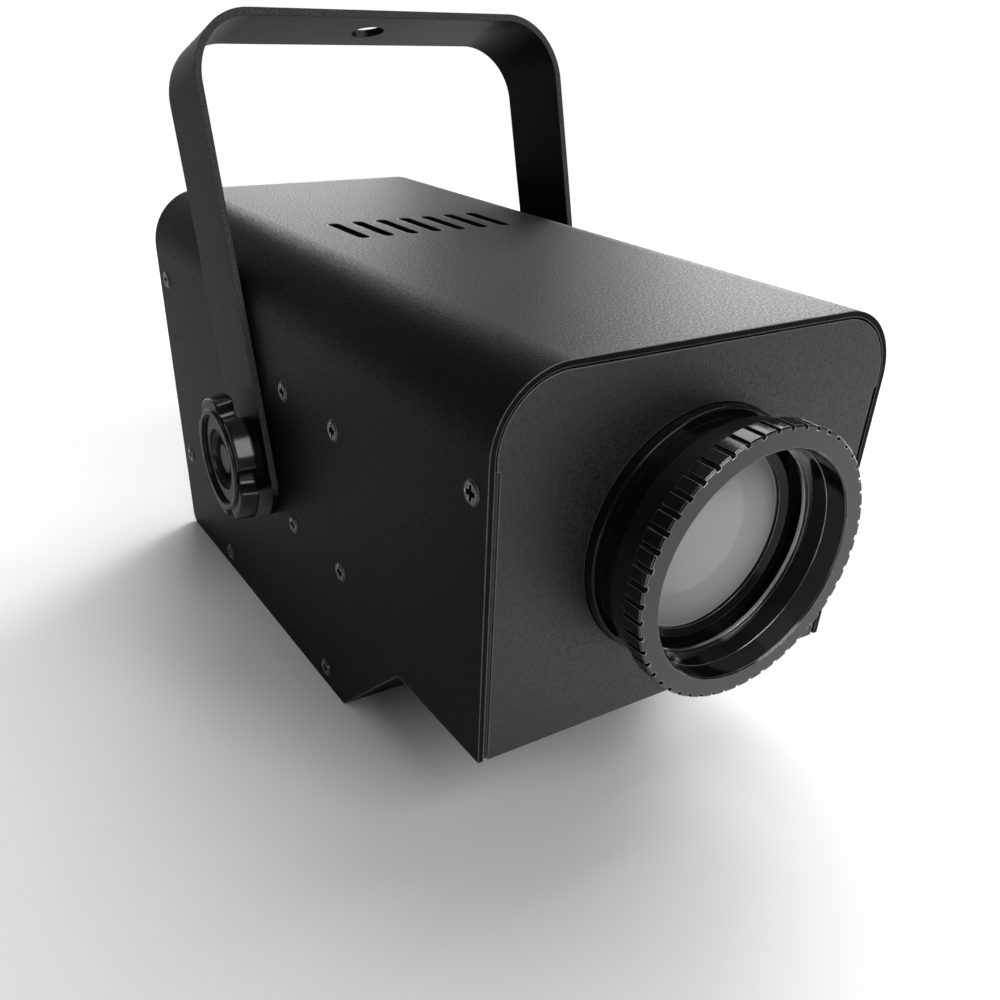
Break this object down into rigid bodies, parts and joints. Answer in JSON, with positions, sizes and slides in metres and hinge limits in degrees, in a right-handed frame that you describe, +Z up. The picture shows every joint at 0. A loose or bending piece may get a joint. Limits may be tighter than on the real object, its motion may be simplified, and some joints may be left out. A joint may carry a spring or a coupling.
{
  "type": "color wheel light",
  "caption": "Small box-shaped stage projector with a focusing lens barrel, an inner colour wheel and a tilting yoke with lobed clamping knobs.",
  "frame": {"origin": "on the floor under the flat base, below the yoke pivot axis, midway between the sides", "axes": "+X across the light, -Y the way the lens looks, +Z up"},
  "size_m": [0.1494, 0.2575, 0.1895],
  "materials": {
    "powder_black": "satin powder coat",
    "screw_black": "black oxide",
    "plated_steel": "zinc plated",
    "fibre": "matte",
    "knob_plastic": "glossy",
    "black_aluminium": "black anodised",
    "spring_steel": "bright",
    "clear_glass": "polished",
    "zinc_sheet": "zinc plated",
    "filter_red": "dichroic",
    "filter_amber": "dichroic",
    "filter_green": "dichroic",
    "filter_cyan": "dichroic",
    "filter_blue": "dichroic",
    "filter_rose": "dichroic",
    "bare_aluminium": "extruded",
    "motor_can": "zinc plated",
    "black_plastic": "matte",
    "board_green": "solder mask",
    "board_white": "white solder mask",
    "display_window": "smoked",
    "latch_metal": "bright",
    "contact_brass": "bright",
    "wire_sleeve": "insulated"
  },
  "bodies": {
    "housing": {"top_shell": "powder_black", "front_panel": "powder_black", "bottom_plate": "powder_black", "rear_panel": "powder_black", "side_screws": "screw_black", "front_screws": "screw_black", "panel_screws": "plated_steel", "yoke_washers": "fibre", "pivot_nuts": "plated_steel", "lens_collar": "black_aluminium", "collar_nuts": "plated_steel", "optics_bracket": "zinc_sheet", "wheel_motor": "motor_can", "wheel_sensor": "black_plastic", "led_board": "board_white", "condenser_holder": "bare_aluminium", "condenser_lens": "clear_glass", "heatsink": "bare_aluminium", "fan_frame": "black_plastic", "fan_screws": "plated_steel", "power_board": "board_green", "transformer": "motor_can", "capacitors": "black_plastic", "board_standoffs": "bare_aluminium", "board_screws": "plated_steel", "control_board": "board_green", "display": "display_window", "data_input": "black_plastic", "data_output": "black_plastic", "contact_pins": "contact_brass", "mains_inlet": "black_plastic", "wiring": "wire_sleeve"},
    "yoke": {"yoke": "powder_black"},
    "knob_stud_left": {"knob_stud_left": "plated_steel"},
    "knob_stud_right": {"knob_stud_right": "plated_steel"},
    "knob_left": {"knob_left": "knob_plastic"},
    "knob_right": {"knob_right": "knob_plastic"},
    "front_lens": {"front_lens": "clear_glass"},
    "focus_barrel": {"lens_tube": "black_aluminium", "focus_ring": "black_aluminium", "focus_set_screw": "plated_steel", "lens_retaining_ring": "black_aluminium", "lens_snap_ring": "spring_steel"},
    "colour_wheel": {"colour_wheel": "zinc_sheet", "filter_red": "filter_red", "filter_amber": "filter_amber", "filter_green": "filter_green", "filter_cyan": "filter_cyan", "filter_blue": "filter_blue", "filter_rose": "filter_rose", "wheel_hub": "bare_aluminium", "wheel_shaft": "plated_steel"},
    "fan": {"fan_rotor": "black_plastic"},
    "menu_button_1": {"menu_button_1": "black_plastic"},
    "menu_button_2": {"menu_button_2": "black_plastic"},
    "menu_button_3": {"menu_button_3": "black_plastic"},
    "menu_button_4": {"menu_button_4": "black_plastic"},
    "fuse_drawer": {"fuse_drawer": "black_plastic", "fuse": "clear_glass"},
    "socket_latch": {"socket_latch": "latch_metal"}
  },
  "joints": [
    {"name": "yoke_tilt", "type": "hinge", "parent": "housing", "child": "yoke", "pos_m": [0, 0, 0.066], "axis": [1, 0, 0], "range_deg": [-96, 65]},
    {"name": "knob_left_advance", "type": "slide", "parent": "housing", "child": "knob_stud_left", "axis": [-1, 0, 0], "range_m": [0, 0.001]},
    {"name": "knob_left_turn", "type": "hinge", "parent": "knob_stud_left", "child": "knob_left", "pos_m": [-0.07, 0, 0.066], "axis": [-1, 0, 0], "range_deg": [0, 360]},
    {"name": "knob_right_advance", "type": "slide", "parent": "housing", "child": "knob_stud_right", "axis": [1, 0, 0], "range_m": [0, 0.001]},
    {"name": "knob_right_turn", "type": "hinge", "parent": "knob_stud_right", "child": "knob_right", "pos_m": [0.07, 0, 0.066], "axis": [1, 0, 0], "range_deg": [0, 360]},
    {"name": "focus_travel", "type": "slide", "parent": "housing", "child": "front_lens", "axis": [0, -1, 0], "range_m": [-0.0034, 0.0034]},
    {"name": "focus_turn", "type": "hinge", "parent": "front_lens", "child": "focus_barrel", "pos_m": [0, -0.14, 0.0835], "axis": [0, -1, 0], "range_deg": [-150, 150]},
    {"name": "colour_wheel_spin", "type": "hinge", "parent": "housing", "child": "colour_wheel", "pos_m": [0, -0.045, 0.0535], "axis": [0, 1, 0], "continuous": true},
    {"name": "fan_spin", "type": "hinge", "parent": "housing", "child": "fan", "pos_m": [0, 0.02, 0.0835], "axis": [0, 1, 0], "continuous": true},
    {"name": "menu_button_1_press", "type": "slide", "parent": "housing", "child": "menu_button_1", "axis": [0, -1, 0], "range_m": [0, 0.0006], "stiffness_N_per_m": 500},
    {"name": "menu_button_2_press", "type": "slide", "parent": "housing", "child": "menu_button_2", "axis": [0, -1, 0], "range_m": [0, 0.0006], "stiffness_N_per_m": 500},
    {"name": "menu_button_3_press", "type": "slide", "parent": "housing", "child": "menu_button_3", "axis": [0, -1, 0], "range_m": [0, 0.0006], "stiffness_N_per_m": 500},
    {"name": "menu_button_4_press", "type": "slide", "parent": "housing", "child": "menu_button_4", "axis": [0, -1, 0], "range_m": [0, 0.0006], "stiffness_N_per_m": 500},
    {"name": "fuse_drawer_slide", "type": "slide", "parent": "housing", "child": "fuse_drawer", "axis": [0, 1, 0], "range_m": [0, 0.018]},
    {"name": "socket_latch_press", "type": "slide", "parent": "housing", "child": "socket_latch", "axis": [0, -1, 0], "range_m": [0, 0.002], "stiffness_N_per_m": 400}
  ],
  "couplings": [
    {"joint": "knob_left_advance", "follows": "knob_left_turn", "m_per_rad": 0.00015915},
    {"joint": "knob_right_advance", "follows": "knob_right_turn", "m_per_rad": 0.00015915},
    {"joint": "focus_travel", "follows": "focus_turn", "m_per_rad": 0.0012732}
  ]
}
